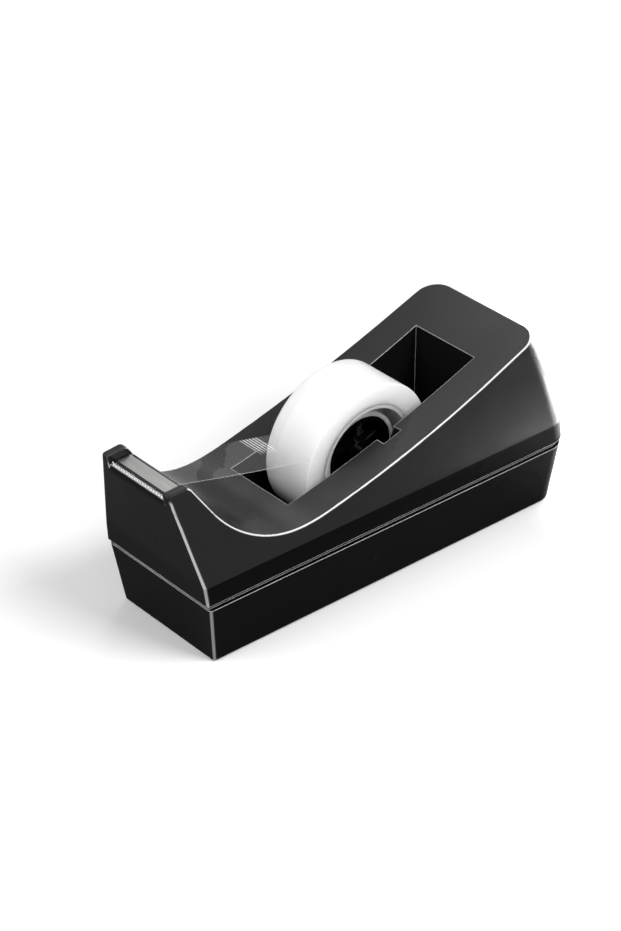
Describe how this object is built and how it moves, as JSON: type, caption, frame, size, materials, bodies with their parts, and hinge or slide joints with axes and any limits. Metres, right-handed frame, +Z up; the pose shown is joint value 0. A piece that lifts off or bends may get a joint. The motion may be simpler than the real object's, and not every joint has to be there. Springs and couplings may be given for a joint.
{
  "type": "desk tape dispenser",
  "caption": "Free-standing desk tape dispenser: saddle-topped housing on a weighted base, with a serrated blade and a lift-out tape spool.",
  "frame": {"origin": "middle of the footprint's length and width, on the surface that the dispenser stands on", "axes": "-X towards the blade, +X towards the tall rear, +Y to the far side, +Z up"},
  "size_m": [0.1528, 0.064, 0.062],
  "materials": {
    "housing_black": "satin gloss moulding",
    "base_black": "satin gloss moulding",
    "ballast": "rough cast",
    "screw_steel": "zinc plated",
    "pad_rubber": "matt non-slip sheet",
    "blade_steel": "bright",
    "plate_steel": "brushed along its length",
    "axle_black": "smooth",
    "hub_black": "high gloss",
    "core_white": "smooth",
    "wound_tape": "milky, slightly see-through",
    "clear_film": "clear film"
  },
  "bodies": {
    "dispenser": {"top_housing": "housing_black", "base_tray": "base_black", "ballast_block": "ballast", "base_screws": "screw_steel", "foot_pad": "pad_rubber", "cutter_blade": "blade_steel", "landing_plate": "plate_steel", "tape_strip": "clear_film"},
    "axle": {"axle": "axle_black"},
    "spool": {"spool_hub": "hub_black", "tape_core": "core_white", "tape_roll": "wound_tape"}
  },
  "joints": [
    {"name": "axle_lift", "type": "slide", "parent": "dispenser", "child": "axle", "axis": [0.4067, 0, 0.9135], "range_m": [0, 0.065]},
    {"name": "spool_spin", "type": "hinge", "parent": "axle", "child": "spool", "pos_m": [0.0074, 0, 0.0347], "axis": [0, 1, 0], "continuous": true}
  ]
}
